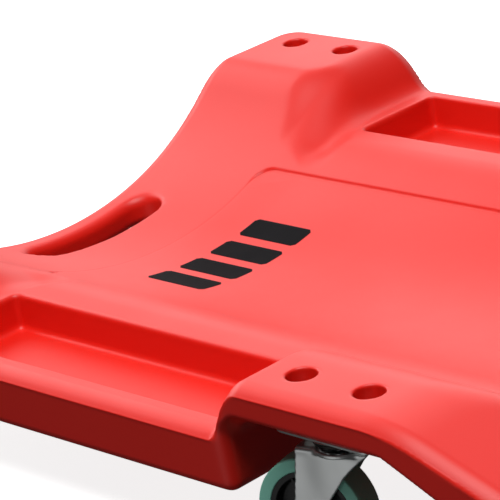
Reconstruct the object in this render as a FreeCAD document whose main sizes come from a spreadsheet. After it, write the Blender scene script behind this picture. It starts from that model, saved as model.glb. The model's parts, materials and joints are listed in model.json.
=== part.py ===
"""Mechanic's creeper: a hollow moulded deck on six two-bolt swivel casters, with a headrest.

Frame: millimetres, +X to the right of a person lying on the deck, +Y towards the head end,
+Z up. The origin is on the floor, under the middle of the deck.
"""
import FreeCAD, Part
import os
import re

import Sketcher
from FreeCAD import Placement, Rotation, Vector

SIZES = {
    # cutting tools: how far they run, and how far solids that are joined or cut overlap
    "tool_reach": 200, "tool_overlap": 1,
    # deck outline and levels
    "deck_length": 1016, "deck_width": 482, "corner_round": 18,
    "skirt_level": 39, "rim_level": 76, "pad_level": 107, "wall": 3,
    # trough that the person lies in, and the belly under it
    "trough_radius": 243, "trough_level": 40.5, "belly_thickness": 20, "trough_head": 335,
    "trough_end_run": 45,
    # side tool trays
    "tray_inner": 155, "tray_outer": 225, "tray_level": 54, "tray_foot": -361, "tray_head": -99,
    # raised caster pads: middles, flat tops each way from them, and runs down to the rim
    "pad_foot_y": -450, "pad_mid_y": -27, "pad_head_y": 396, "corner_pad_inner": 120,
    "inner_pad_inner": 185, "inner_pad_run": 45, "foot_pad_reach": 42, "foot_pad_run": 34,
    "pad_near_reach": 51, "pad_near_run": 22, "pad_far_reach": 57, "ramp_run": 88,
    "head_pad_run": 34, "head_level_half": 140,
    # caster recesses under the pads
    "recess_inner": 150, "recess_level": 81.2, "recess_half": 68, "recess_foot_reach": 200,
    # carrying handle at the foot end
    "slot_half": 56, "slot_near": -486, "slot_far": -454,
    # headrest
    "rest_y": 432, "rest_width": 270, "rest_depth": 104, "board_thick": 5, "cushion_thick": 21,
    "rest_round": 22, "cushion_inset": 3, "rest_screw_x": 95, "rest_screw_y": 28,
    "screw_shank": 2.1, "screw_head": 4.5, "screw_head_thick": 2.5, "screw_cup": 8,
    "screw_seat": 70, "screw_top": 80,
    # caster bolts, two to a plate
    "caster_x": 212, "bolt_pitch": 49, "bolt_shank": 3, "bolt_hole": 3.3, "bolt_top": 97,
    "bolt_head": 5.2, "bolt_head_thick": 3.1, "cup_radius": 9, "cup_level": 88,
    "washer_radius": 6.2, "washer_thick": 1.6, "nut_radius": 5.7, "nut_thick": 5,
    # caster plate, ball race and kingpin
    "plate_thick": 1.5, "plate_x": 35, "plate_y": 70, "race_inner": 14.9, "race_outer": 16.4,
    "race_drop": 3.3, "ball_radius": 3.1, "ball_circle": 11.5, "ball_count": 11,
    "kingpin_radius": 4, "kingpin_flange": 7.5, "kingpin_flange_thick": 2, "play": 0.05,
    # fork, wheel and axle
    "crown_top": 73.4, "crown_thick": 2.5, "crown_radius": 17, "leg_thick": 2, "leg_gap": 19.7,
    "leg_front": 19, "leg_back": 24, "leg_shoulder_y": 10, "leg_shoulder_level": 64.6,
    "leg_knee_y": -6.3, "leg_knee_level": 44.5, "leg_foot": 8.3,
    "trail": 21.4, "swivel_rest": 15, "wheel_radius": 32.5, "tread_width": 17.3,
    "tread_round": 3, "rim_radius": 25.3, "hub_boss": 8, "hub_web": 3, "rim_wall": 3,
    "axle_radius": 4, "axle_head": 6.4, "axle_head_thick": 3.6, "axle_nut_thick": 4.5,
    "axle_tip": 1,
}

CASTERS = [
    ("foot_left", -1, "pad_foot_y"), ("foot_right", 1, "pad_foot_y"),
    ("mid_left", -1, "pad_mid_y"), ("mid_right", 1, "pad_mid_y"),
    ("head_left", -1, "pad_head_y"), ("head_right", 1, "pad_head_y"),
]
NEAR_ZERO = 1e-9
UPRIGHT = Rotation(Vector(1, 0, 0), 90)
ALONG_X = Rotation(Vector(0, 1, 0), 90)
ALONG_Y = Rotation(Vector(1, 0, 0), -90)

doc = FreeCAD.newDocument("MechanicsCreeper")
sheet = doc.addObject("Spreadsheet::Sheet", "Sizes")
for row, (alias, number) in enumerate(SIZES.items(), 1):
    sheet.set(f"A{row}", alias)
    sheet.set(f"B{row}", str(number))
    sheet.setAlias(f"B{row}", alias)
doc.recompute()

subparts = []


# ---------------------------------------------------------------- helpers

def cells(text):
    """Turns size names in an expression into references to the sheet's cells."""
    return re.sub(r"\b[a-z]\w*_\w+|\b(?:wall|play|trail)\b", lambda word: "Sizes." + word.group(), str(text))


def value(text):
    """The number that an expression gives."""
    return float(sheet.evalExpression(cells(text)))


def bind(solid, **sizes):
    for name, text in sizes.items():
        solid.setExpression(name, cells(text))
    return solid


def place(solid, x="0", y="0", z="0", rotation=Rotation()):
    solid.Placement = Placement(Vector(), rotation)
    for axis, text in zip("xyz", (x, y, z)):
        solid.setExpression(f".Placement.Base.{axis}", cells(text))
    return solid


def box(name, x, y, z):
    """A box from three (low, high) pairs."""
    solid = doc.addObject("Part::Box", name)
    spans = [f"({high}) - ({low})" for low, high in (x, y, z)]
    bind(solid, Length=spans[0], Width=spans[1], Height=spans[2])
    return place(solid, x[0], y[0], z[0])


def wedge(name, z, low, high):
    """A block between two levels; low and high are its footprints there: x, x, y, y."""
    solid = doc.addObject("Part::Wedge", name)
    bind(solid, Ymin=z[0], Ymax=z[1], Xmin=low[0], Xmax=low[1], X2min=high[0], X2max=high[1],
         Zmin=f"-({low[3]})", Zmax=f"-({low[2]})", Z2min=f"-({high[3]})", Z2max=f"-({high[2]})")
    solid.Placement = Placement(Vector(), UPRIGHT)
    return solid


def cylinder(name, radius, length, x="0", y="0", z="0", rotation=Rotation()):
    solid = doc.addObject("Part::Cylinder", name)
    bind(solid, Radius=radius, Height=length)
    return place(solid, x, y, z, rotation)


def hexagon(name, radius, length, x="0", y="0", z="0", rotation=Rotation()):
    solid = doc.addObject("Part::Prism", name)
    solid.Polygon = 6
    bind(solid, Circumradius=radius, Height=length)
    return place(solid, x, y, z, rotation)


def fuse(name, solids):
    joined = doc.addObject("Part::MultiFuse", name)
    joined.Shapes = solids
    return joined


def cut(name, base, tools):
    made = doc.addObject("Part::Cut", name)
    made.Base = base
    made.Tool = tools[0] if len(tools) == 1 else fuse(name + "_tools", tools)
    return made


def mirrored(solid):
    """The same solid on the left side of the deck."""
    twin = doc.addObject("Part::Mirroring", solid.Name + "_left")
    twin.Source = solid
    twin.Normal = Vector(1, 0, 0)
    return twin


def round_uprights(name, solid, radius):
    """A box with its four upright edges rounded."""
    rounded = doc.addObject("Part::Fillet", name)
    rounded.Base = solid
    rounded.Edges = [(edge, value(radius), value(radius)) for edge in (1, 3, 5, 7)]
    return rounded


def group(name, solids):
    """Separate solids that share one node."""
    gathered = doc.addObject("Part::Compound", name)
    gathered.Links = solids
    return gathered


def keep(solid, label):
    """Marks a finished sub-part; its label names its file."""
    solid.Label = label
    subparts.append(solid)
    return solid


def sketch(body, role, points, name):
    """A closed outline on one of the body's origin planes, each corner bound to the sheet."""
    plane = next(item for item in body.Origin.OriginFeatures if item.Role == role)
    outline = body.newObject("Sketcher::SketchObject", name)
    outline.AttachmentSupport = [(plane, "")]
    outline.MapMode = "FlatFace"
    corners = [Vector(value(across), value(up), 0) for across, up in points]
    for start, end in zip(corners, corners[1:] + corners[:1]):
        outline.addGeometry(Part.LineSegment(start, end))
    for index in range(len(points)):
        following = (index + 1) % len(points)
        outline.addConstraint(Sketcher.Constraint("Coincident", index, 2, following, 1))
    for index, (corner, texts) in enumerate(zip(corners, points)):
        for kind, number, text, axis in zip(("DistanceX", "DistanceY"), corner, texts, (-2, -1)):
            if abs(number) < NEAR_ZERO:
                outline.addConstraint(Sketcher.Constraint("PointOnObject", index, 1, axis))
            else:
                datum = outline.addConstraint(Sketcher.Constraint(kind, -1, 1, index, 1, number))
                outline.setExpression(f"Constraints[{datum}]", cells(text))
    return outline


def turned(label, points):
    """A body turned about its upright axis; points are (radius, height) pairs."""
    body = doc.addObject("PartDesign::Body", label)
    profile = sketch(body, "XZ_Plane", points, label + "_profile")
    turn = body.newObject("PartDesign::Revolution", label + "_turn")
    turn.Profile = profile
    turn.ReferenceAxis = (profile, ["V_Axis"])
    turn.Angle = 360
    body.Tip = turn
    return body


# ---------------------------------------------------------------- deck

def pads(tag, inset):
    """The raised pads on the right side, each over one caster."""
    levels = (f"skirt_level + {inset}", f"pad_level - {inset}")
    outer = f"deck_width / 2 - {inset}"
    made = []
    for part, inner, inner_run, near, near_run, far, far_run in (
            ("foot", "corner_pad_inner", "0", "-deck_length / 2", "0",
             "pad_foot_y + foot_pad_reach", "foot_pad_run"),
            ("mid", "inner_pad_inner", "inner_pad_run", "pad_mid_y - pad_near_reach", "pad_near_run",
             "pad_mid_y + pad_far_reach", "ramp_run"),
            ("head", "inner_pad_inner", "inner_pad_run", "pad_head_y - pad_near_reach", "pad_near_run",
             "pad_head_y + pad_far_reach", "head_pad_run")):
        spread = "(pad_level - skirt_level) / (pad_level - rim_level)"
        top = (f"{inner} + {inset}", outer, f"{near} + {inset}", f"{far} - {inset}")
        low = (f"{top[0]} - {inner_run} * {spread}", outer, f"{top[2]} - {near_run} * {spread}",
               f"{top[3]} + {far_run} * {spread}")
        made.append(wedge(f"{part}_pad_{tag}", levels, low, top))
    return made


def recesses(tag, inset):
    """The hollows under the right-hand pads where the casters swing."""
    levels = ("-tool_overlap", f"recess_level + {inset}")
    across = (f"recess_inner - {inset}", "deck_width")
    ramp = "ramp_run * (recess_level - skirt_level) / (pad_level - rim_level)"
    made = []
    for part, centre, foot_reach, head_run in (
            ("foot", "pad_foot_y", "recess_foot_reach", "0"), ("mid", "pad_mid_y", "recess_half", ramp),
            ("head", "pad_head_y", "recess_half", "0")):
        near = f"{centre} - {foot_reach} - {inset}"
        far = f"{centre} + recess_half + {inset}"
        below = f"{far} + ({head_run}) * (recess_level + tool_overlap) / (recess_level - skirt_level)"
        made.append(wedge(f"{part}_recess_{tag}", levels, (*across, near, below),
                          (*across, near, far)))
    return made


def bolt_places():
    for caster, side, centre in CASTERS:
        for index, end in enumerate((-1, 1)):
            yield f"{caster}_{index}", f"{side} * caster_x", f"{centre} + {end} * bolt_pitch / 2"


def rest_screw_places():
    for across in (-1, 1):
        for along in (-1, 1):
            yield (f"{across + 1}{along + 1}", f"{across} * rest_screw_x",
                   f"rest_y + {along} * rest_screw_y")


def deck_form(tag, inset):
    """The deck's outer form, or with the wall as inset the hollow inside it."""
    half = f"deck_width / 2 - {inset}"
    end = f"deck_length / 2 - {inset}"
    plan = round_uprights(f"plan_{tag}", box(f"plan_block_{tag}", (f"-({half})", half), (f"-({end})", end),
                                             ("0", "pad_level - %s" % inset)), "corner_round")
    slab = box(f"slab_{tag}", ("-deck_width", "deck_width"), ("-deck_length", "deck_length"),
               (f"skirt_level + {inset}", f"rim_level - {inset}"))
    axis_level = "trough_level + trough_radius"
    barrel = cylinder(f"belly_{tag}", f"trough_radius + belly_thickness - {inset}", f"2 * ({end})",
                      y=f"-({end})", z=axis_level, rotation=ALONG_Y)
    below = box(f"below_{tag}", ("-deck_width / 2", "deck_width / 2"), ("-deck_length", "deck_length"),
                ("0", f"skirt_level + {inset} + tool_overlap"))
    belly = doc.addObject("Part::MultiCommon", f"belly_under_{tag}")
    belly.Shapes = [barrel, below]
    right = pads(tag, inset)
    whole = fuse(f"whole_{tag}", [slab, belly] + right + [mirrored(pad) for pad in right])
    inside_plan = doc.addObject("Part::MultiCommon", f"trimmed_{tag}")
    inside_plan.Shapes = [whole, plan]

    trough_round = cylinder(f"trough_round_{tag}", f"trough_radius + {inset}", "2 * deck_length",
                            y="-deck_length", z=axis_level, rotation=ALONG_Y)
    reach = wedge(f"trough_reach_{tag}", ("0", "pad_level + tool_overlap"),
                  ("-deck_width", "deck_width", "-deck_length",
                   f"trough_head + {inset} - trough_end_run * trough_level / (rim_level - trough_level)"),
                  ("-deck_width", "deck_width", "-deck_length",
                   f"trough_head + {inset} + trough_end_run * (pad_level + tool_overlap - trough_level)"
                   " / (rim_level - trough_level)"))
    trough = doc.addObject("Part::MultiCommon", f"trough_{tag}")
    trough.Shapes = [trough_round, reach]
    head_level = box(f"head_level_{tag}", (f"-head_level_half - {inset}", f"head_level_half + {inset}"),
                     (f"trough_head - {inset}", "deck_length"), (f"rim_level - {inset}", "tool_reach"))
    tray = box(f"tray_{tag}", (f"tray_inner - {inset}", f"tray_outer + {inset}"),
               (f"tray_foot - {inset}", f"tray_head + {inset}"), (f"tray_level - {inset}", "tool_reach"))
    hollows = [tray] + recesses(tag, inset)
    hollows += [mirrored(hollow) for hollow in hollows]
    hollows += [trough, head_level]
    slot_width = "slot_far - slot_near"
    slot_straight = f"slot_half - ({slot_width}) / 2"
    hollows.append(box(f"slot_{tag}", (f"-({slot_straight})", slot_straight),
                       (f"slot_near - {inset}", f"slot_far + {inset}"), ("0", "tool_reach")))
    for number, side in enumerate((-1, 1)):
        hollows.append(cylinder(f"slot_end_{tag}_{number}", f"({slot_width}) / 2 + {inset}", "tool_reach",
                                x=f"{side} * ({slot_straight})",
                                y="(slot_near + slot_far) / 2"))
    for spot, x, y in bolt_places():
        hollows.append(cylinder(f"cup_{tag}_{spot}", f"cup_radius + {inset}", "tool_reach", x, y,
                                f"cup_level - {inset}"))
        hollows.append(cylinder(f"bolt_hole_{tag}_{spot}", f"bolt_hole + {inset}", "tool_reach", x, y))
    for spot, x, y in rest_screw_places():
        hollows.append(cylinder(f"screw_cup_{tag}_{spot}", f"screw_cup + {inset}",
                                f"screw_seat + {inset}", x, y))
        hollows.append(cylinder(f"screw_hole_{tag}_{spot}", f"screw_shank + {inset}", "tool_reach", x, y))
    return cut(f"deck_form_{tag}", inside_plan, hollows)


keep(cut("deck_body", deck_form("outer", "0"), [deck_form("inner", "wall")]), "deck_body")


# ---------------------------------------------------------------- headrest

def headrest():
    board_top = "rim_level + board_thick"
    cushion_top = f"{board_top} + cushion_thick"
    for label, inset, low, high in (("headrest_board", "cushion_inset", "rim_level", board_top),
                                    ("headrest_cushion", "0", board_top, cushion_top)):
        across = f"rest_width / 2 - {inset}"
        along = f"rest_depth / 2 - {inset}"
        block = box(label + "_block", (f"-({across})", across), (f"rest_y - ({along})", f"rest_y + {along}"),
                    (low, high))
        rounded = round_uprights(label + "_rounded", block, "rest_round")
        if label == "headrest_cushion":
            keep(rounded, label)
            continue
        holes = [cylinder(f"{label}_hole_{spot}", "screw_shank", "screw_top", x, y)
                 for spot, x, y in rest_screw_places()]
        keep(cut(label, rounded, holes), label)
    screws = []
    for spot, x, y in rest_screw_places():
        head = cylinder(f"screw_head_{spot}", "screw_head", "screw_head_thick", x, y,
                        "screw_seat - screw_head_thick")
        shank = cylinder(f"screw_shank_{spot}", "screw_shank", "screw_top - screw_seat + tool_overlap",
                         x, y, "screw_seat - tool_overlap")
        screws.append(fuse(f"screw_{spot}", [head, shank]))
    keep(group("headrest_screws", screws), "headrest_screws")


headrest()


# ---------------------------------------------------------------- caster fasteners

def caster_fasteners():
    plate_low = "recess_level - plate_thick"
    bolts, washers, nuts = [], [], []
    for spot, x, y in bolt_places():
        head = cylinder(f"bolt_head_{spot}", "bolt_head", "bolt_head_thick", x, y,
                        f"{plate_low} - bolt_head_thick")
        shank = cylinder(f"bolt_shank_{spot}", "bolt_shank", f"bolt_top - ({plate_low}) + tool_overlap",
                         x, y, f"{plate_low} - tool_overlap")
        bolts.append(fuse(f"bolt_{spot}", [head, shank]))
        ring = cylinder(f"washer_ring_{spot}", "washer_radius", "washer_thick", x, y, "cup_level")
        ring_hole = cylinder(f"washer_hole_{spot}", "bolt_hole", "tool_reach", x, y)
        washers.append(cut(f"washer_{spot}", ring, [ring_hole]))
        prism = hexagon(f"nut_prism_{spot}", "nut_radius", "nut_thick", x, y, "cup_level + washer_thick")
        thread = cylinder(f"nut_thread_{spot}", "bolt_shank", "tool_reach", x, y)
        nuts.append(cut(f"nut_{spot}", prism, [thread]))
    for label, solids in (("caster_bolts", bolts), ("caster_washers", washers), ("caster_nuts", nuts)):
        keep(group(label, solids), label)


caster_fasteners()


# ---------------------------------------------------------------- casters

def caster_plate(name, x, y):
    low = "recess_level - plate_thick"
    flat = box(f"plate_flat_{name}", (f"{x} - plate_x / 2", f"{x} + plate_x / 2"),
               (f"{y} - plate_y / 2", f"{y} + plate_y / 2"), (low, "recess_level"))
    race = cylinder(f"plate_race_{name}", "race_outer", "race_drop + tool_overlap", x, y,
                    f"{low} - race_drop")
    race_hollow = cylinder(f"plate_race_hollow_{name}", "race_inner", "race_drop", x, y,
                           f"{low} - race_drop")
    holes = [race_hollow, cylinder(f"plate_pin_hole_{name}", "kingpin_radius", "tool_reach", x, y)]
    for end in (-1, 1):
        holes.append(cylinder(f"plate_bolt_hole_{name}_{end + 1}", "bolt_hole", "tool_reach", x,
                              f"{y} + {end} * bolt_pitch / 2"))
    solid = fuse(f"plate_solid_{name}", [flat, race])
    return keep(cut(f"plate_{name}", solid, holes), f"caster_plate_{name}")


def kingpin(name, x, y):
    flange_low = "crown_top - crown_thick - 2 * play - kingpin_flange_thick"
    length = f"recess_level - ({flange_low})"
    pin = turned(f"kingpin_{name}", [
        ("0", "0"), ("kingpin_flange", "0"), ("kingpin_flange", "kingpin_flange_thick"),
        ("kingpin_radius", "kingpin_flange_thick"), ("kingpin_radius", length), ("0", length)])
    return keep(place(pin, x, y, flange_low), f"kingpin_{name}")


def swivel_balls(name, x, y):
    balls = []
    for index in range(int(value("ball_count"))):
        angle = f"360 * {index} / ball_count"
        ball = doc.addObject("Part::Sphere", f"ball_{name}_{index}")
        bind(ball, Radius="ball_radius")
        balls.append(place(ball, f"{x} + ball_circle * cos({angle})", f"{y} + ball_circle * sin({angle})",
                           "crown_top + play + ball_radius"))
    return keep(group(f"balls_{name}", balls), f"swivel_balls_{name}")


def fork(name, x, y):
    """A pressed fork: a round crown with two legs that lean back to the axle."""
    crown_low = "crown_top - crown_thick"
    body = turned(f"fork_pressing_{name}", [
        ("kingpin_radius + play", crown_low), ("crown_radius", crown_low),
        ("crown_radius", "crown_top"), ("kingpin_radius + play", "crown_top")])
    leg = sketch(body, "YZ_Plane", [
        ("leg_front", "crown_top"), ("leg_front", crown_low), ("leg_shoulder_y", "leg_shoulder_level"),
        ("leg_knee_y", "leg_knee_level"), ("leg_foot - trail", "wheel_radius"),
        ("leg_foot / 2 - trail", "wheel_radius - leg_foot"),
        ("-leg_foot / 2 - trail", "wheel_radius - leg_foot"), ("-leg_foot - trail", "wheel_radius"),
        ("-leg_back", "crown_top")], f"leg_outline_{name}")
    legs = body.newObject("PartDesign::Pad", f"legs_{name}")
    legs.Profile = leg
    legs.Midplane = True
    bind(legs, Length="leg_gap + 2 * leg_thick")
    gap_sides = ("-2 * trail - crown_radius", "2 * crown_radius")
    gap = sketch(body, "YZ_Plane", [
        (gap_sides[0], "0"), (gap_sides[1], "0"), (gap_sides[1], crown_low),
        (gap_sides[0], crown_low)], f"gap_outline_{name}")
    wheel_gap = body.newObject("PartDesign::Pocket", f"wheel_gap_{name}")
    wheel_gap.Profile = gap
    wheel_gap.Midplane = True
    bind(wheel_gap, Length="leg_gap")
    body.Tip = wheel_gap
    bore = cylinder(f"axle_bore_{name}", "axle_radius", "2 * crown_radius",
                    x="-crown_radius", y="-trail", z="wheel_radius", rotation=ALONG_X)
    pin_bore = cylinder(f"pin_bore_{name}", "kingpin_radius + play", "tool_reach")
    drilled = cut(f"fork_drilled_{name}", body, [bore, pin_bore])
    return keep(swivelled(drilled, x, y), f"fork_{name}")


def swivelled(solid, x, y):
    """Puts a part made about the kingpin's axis in its place, turned to the rest angle."""
    solid.Placement = Placement(Vector(), Rotation(Vector(0, 0, 1), value("swivel_rest")))
    for axis, text in zip("xy", (x, y)):
        solid.setExpression(f".Placement.Base.{axis}", cells(text))
    return solid


def on_axle(solid, x, y, start="0"):
    """Lays a turned part along the axle; start is its first face from the wheel's middle."""
    turn = Rotation(Vector(0, 0, 1), value("swivel_rest"))
    solid.Placement = Placement(Vector(), turn.multiply(ALONG_X))
    across = f"({start})"
    for axis, text in (("x", f"{x} + trail * sin(swivel_rest) + {across} * cos(swivel_rest)"),
                       ("y", f"{y} - trail * cos(swivel_rest) + {across} * sin(swivel_rest)"),
                       ("z", "wheel_radius")):
        solid.setExpression(f".Placement.Base.{axis}", cells(text))
    return solid


def axle(name, x, y):
    outer = "leg_gap / 2 + leg_thick"
    length = f"2 * ({outer}) + axle_nut_thick + axle_tip"
    head = hexagon(f"axle_head_{name}", "axle_head", "axle_head_thick", z="-axle_head_thick")
    shank = cylinder(f"axle_shank_{name}", "axle_radius", f"{length} + tool_overlap", z="-tool_overlap")
    bolt = fuse(f"axle_bolt_{name}", [head, shank])
    keep(on_axle(bolt, x, y, f"-({outer})"), f"axle_bolt_{name}")
    prism = hexagon(f"axle_nut_prism_{name}", "axle_head", "axle_nut_thick")
    thread = cylinder(f"axle_nut_thread_{name}", "axle_radius", "tool_reach", z="-tool_reach / 2")
    nut = cut(f"axle_nut_{name}", prism, [thread])
    keep(on_axle(nut, x, y, outer), f"axle_nut_{name}")


def wheel(name, x, y):
    boss = "leg_gap / 2 - 2 * play"
    side = "tread_width / 2"
    bore = "axle_radius + play"
    hub = turned(f"wheel_hub_{name}", [
        (bore, f"-({boss})"), ("hub_boss", f"-({boss})"), ("hub_boss", "-hub_web"),
        ("rim_radius - rim_wall", "-hub_web"), ("rim_radius - rim_wall", f"-{side}"),
        ("rim_radius", f"-{side}"), ("rim_radius", side), ("rim_radius - rim_wall", side),
        ("rim_radius - rim_wall", "hub_web"), ("hub_boss", "hub_web"), ("hub_boss", boss), (bore, boss)])
    keep(on_axle(hub, x, y), f"wheel_hub_{name}")
    tyre = turned(f"tyre_{name}", [
        ("rim_radius", f"-{side}"), ("wheel_radius - tread_round", f"-{side}"),
        ("wheel_radius - tread_round / 3", f"-{side} + tread_round / 3"),
        ("wheel_radius", f"-{side} + tread_round"), ("wheel_radius", f"{side} - tread_round"),
        ("wheel_radius - tread_round / 3", f"{side} - tread_round / 3"),
        ("wheel_radius - tread_round", side), ("rim_radius", side)])
    keep(on_axle(tyre, x, y), f"tyre_{name}")


for name, side, centre in CASTERS:
    spot = (f"{side} * caster_x", centre)
    caster_plate(name, *spot)
    kingpin(name, *spot)
    swivel_balls(name, *spot)
    fork(name, *spot)
    axle(name, *spot)
    wheel(name, *spot)


# ---------------------------------------------------------------- checks and files

doc.recompute()
for item in doc.Objects:
    if "Invalid" in item.State or "Error" in item.State:
        raise RuntimeError(f"{item.Name} failed: {item.State}")
for part in subparts:
    if part.Shape.isNull() or not part.Shape.isValid() or not part.Shape.Solids:
        raise RuntimeError(f"{part.Label} has no valid solid")

os.makedirs("parts", exist_ok=True)
for part in subparts:
    part.Shape.exportStep(f"parts/{part.Label}.step")
    print(f"{part.Label:28s} {len(part.Shape.Solids):3d} solids {part.Shape.Volume / 1000:10.2f} cm3")
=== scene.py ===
"""Looks of the mechanic's creeper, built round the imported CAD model.

Shapes are worked out in millimetres and made in metres. Materials, lights and the camera are in metres.
"""
import json
import math

import bmesh
import bpy
import numpy as np
from mathutils import Matrix, Vector


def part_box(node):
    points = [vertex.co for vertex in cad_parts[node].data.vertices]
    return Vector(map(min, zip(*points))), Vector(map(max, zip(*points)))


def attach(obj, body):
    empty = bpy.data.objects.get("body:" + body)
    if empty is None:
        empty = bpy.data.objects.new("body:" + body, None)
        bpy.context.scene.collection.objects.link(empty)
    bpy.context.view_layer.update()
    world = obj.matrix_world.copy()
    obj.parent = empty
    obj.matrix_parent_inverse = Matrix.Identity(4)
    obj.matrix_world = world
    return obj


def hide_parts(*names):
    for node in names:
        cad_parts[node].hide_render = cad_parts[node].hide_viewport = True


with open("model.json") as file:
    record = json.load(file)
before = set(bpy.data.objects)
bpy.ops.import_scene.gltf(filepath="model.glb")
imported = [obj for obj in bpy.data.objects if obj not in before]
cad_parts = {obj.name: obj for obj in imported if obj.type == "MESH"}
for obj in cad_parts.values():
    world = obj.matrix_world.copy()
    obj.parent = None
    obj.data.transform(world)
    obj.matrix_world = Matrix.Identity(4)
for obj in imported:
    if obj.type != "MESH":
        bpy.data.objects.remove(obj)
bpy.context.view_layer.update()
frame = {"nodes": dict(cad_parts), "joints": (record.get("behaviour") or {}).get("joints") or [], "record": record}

MM = 0.001
CASTERS = sorted(name[len("tyre_"):] for name in frame["nodes"] if name.startswith("tyre_"))
JOINTS = {joint["name"]: joint for joint in frame["joints"]}


# ---------------------------------------------------------------- deck: sizes, in millimetres

_, deck_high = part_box("deck_body")
HALF_WIDTH, HALF_LENGTH, PAD_LEVEL = np.array(deck_high) / MM
RIM_LEVEL = 76.0
SKIRT_LEVEL = 39.0
CORNER_ROUND = 20.0
TOP_EDGE_ROUND, BOTTOM_EDGE_ROUND = 5.5, 6.0
UPPER_DRAFT, LOWER_DRAFT = 0.85, 0.06
PARTING_DROP = 5.5
PARTING_BEAD = {"height": 0.25, "half": 0.5}

# The trough rises to each side. TROUGH_RISE is its rise 100 mm out, as a square and as a fourth power.
TROUGH_LEVEL = 40.5
TROUGH_RISE = (20.6, 2.2)
TROUGH_HEAD, TROUGH_END_RUN, TROUGH_END_BLEND = 335.0, 45.0, 16.0
BELLY_THICKNESS, BELLY_CURVE, BELLY_BLEND = 20.0, 520.0, 5.0

# Each slope of a pad is two places that a straight line passes through, and how softly it joins the rest.
PADS = {"foot": -450.0, "mid": -27.0, "head": 396.0}
PAD_INNER = {"side": (178.0, 142.0), "blend": 16.0}
PAD_BACK = {"behind": (65.0, 69.7), "level": (90.6, 79.2), "blend": 30.0}
PAD_RAMPS = {"mid": (33.0, 121.0), "head": (453.0, 487.0)}
PAD_RAMP_BLEND, PAD_RIM_BLEND = 7.0, 8.0
FOOT_PAD = {"y": (-391.0, -383.0), "level": (96.2, 83.9), "blend": 24.0}
FOOT_RIM_BLEND = {"least": 10.0, "more": 16.0, "side": (190.0, 140.0)}
TROUGH_EDGE_BLEND = {"least": 14.0, "more": 26.0, "foot": (-424.0, -400.0), "head": (-352.0, -378.0),
                     "side": (98.0, 128.0)}

TRAY = {"x": (155.0, 225.0), "y": (-361.0, -99.0), "floor": 54.0, "corner": 5.0, "draft": 0.07,
        "floor_round": 3.5, "mouth": 1.0, "inner_mouth": 1.6}
CUP_RADIUS, CUP_LEVEL, BOLT_PITCH = 8.8, 88.0, 49.0
CASTER_X = 212.0
RECESS = {"x": (150.0, 300.0), "level": 81.2, "half": 62.0, "corner": 16.0, "lip": 7.4, "mouth": 1.2,
          "end_mouth": 6.5, "roof_round": 8.0, "end_roof_round": 4.0}
RECESS_ENDS = (36.0, 50.0)
MID_RECESS_RAMP = {"length": 110.0, "start": 53.0, "slope": 0.455}
PAST_FOOT_END = -900.0
SCREW_CUP = {"x": 95.0, "y": 432.0, "half_pitch": 28.0, "radius": 8.0, "level": 70.0}
SLOT = {"half": 56.0, "near": -485.0, "far": -454.0, "mouth": 1.2, "foot_mouth": 5.5}
MARK = {"x": (-56.0, 46.0), "y": (-369.0, -317.0), "block": 19.5, "blocks": 4, "rows": 17, "corner": 0.75,
        "squeeze": 0.10, "above": 0.12, "below": 0.5}
PANEL = {"x": 99.6, "foot": -404.0, "head": 300.0, "depth": 1.1, "corner": 12.0, "edge_half": 0.6,
         "groove": 0.8, "groove_half": 0.7, "fade": 40.0, "fade_side": (82.0, 97.0)}
PANEL_FAINT, PANEL_FULL = 0.12, 0.88
FAR_AWAY = 1e3


# ---------------------------------------------------------------- deck: field functions

def soft_min(a, b, k):
    """The lower of two heights, blended over k where they are close."""
    near = np.maximum(k - np.abs(a - b), 0)
    return np.minimum(a, b) - near ** 2 / (4 * k)


def soft_max(a, b, k):
    """The higher of two heights, blended over k where they are close."""
    return -soft_min(-a, -b, k)


def both(a, b, radius):
    """The part inside both a and b, its edge rounded to a radius."""
    return (np.minimum(-radius, np.maximum(a, b))
            + np.hypot(np.maximum(a + radius, 0), np.maximum(b + radius, 0)))


def without(a, b, radius):
    """a with b cut away, the mouth of the cut rounded to a radius."""
    return both(a, -b, radius)


def step(low, high, value):
    """A smooth rise from 0 at low to 1 at high."""
    share = np.clip((value - low) / (high - low), 0, 1)
    return share * share * (3 - 2 * share)


def rectangle(x, y, x_span, y_span, radius):
    """Distance to a rectangle with rounded corners, seen from above."""
    across = np.abs(x - sum(x_span) / 2) - (x_span[1] - x_span[0]) / 2 + radius
    along = np.abs(y - sum(y_span) / 2) - (y_span[1] - y_span[0]) / 2 + radius
    outside = np.hypot(np.maximum(across, 0), np.maximum(along, 0))
    return outside + np.minimum(np.maximum(across, along), 0) - radius


def slope_between(value, start, end, low, high):
    """A straight slope through (start, low) and (end, high)."""
    return low + (value - start) * (high - low) / (end - start)


def trough(x):
    """Height of the trough's floor, across the deck."""
    share = (x / 100) ** 2
    return TROUGH_LEVEL + TROUGH_RISE[0] * share + TROUGH_RISE[1] * share ** 2


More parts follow.
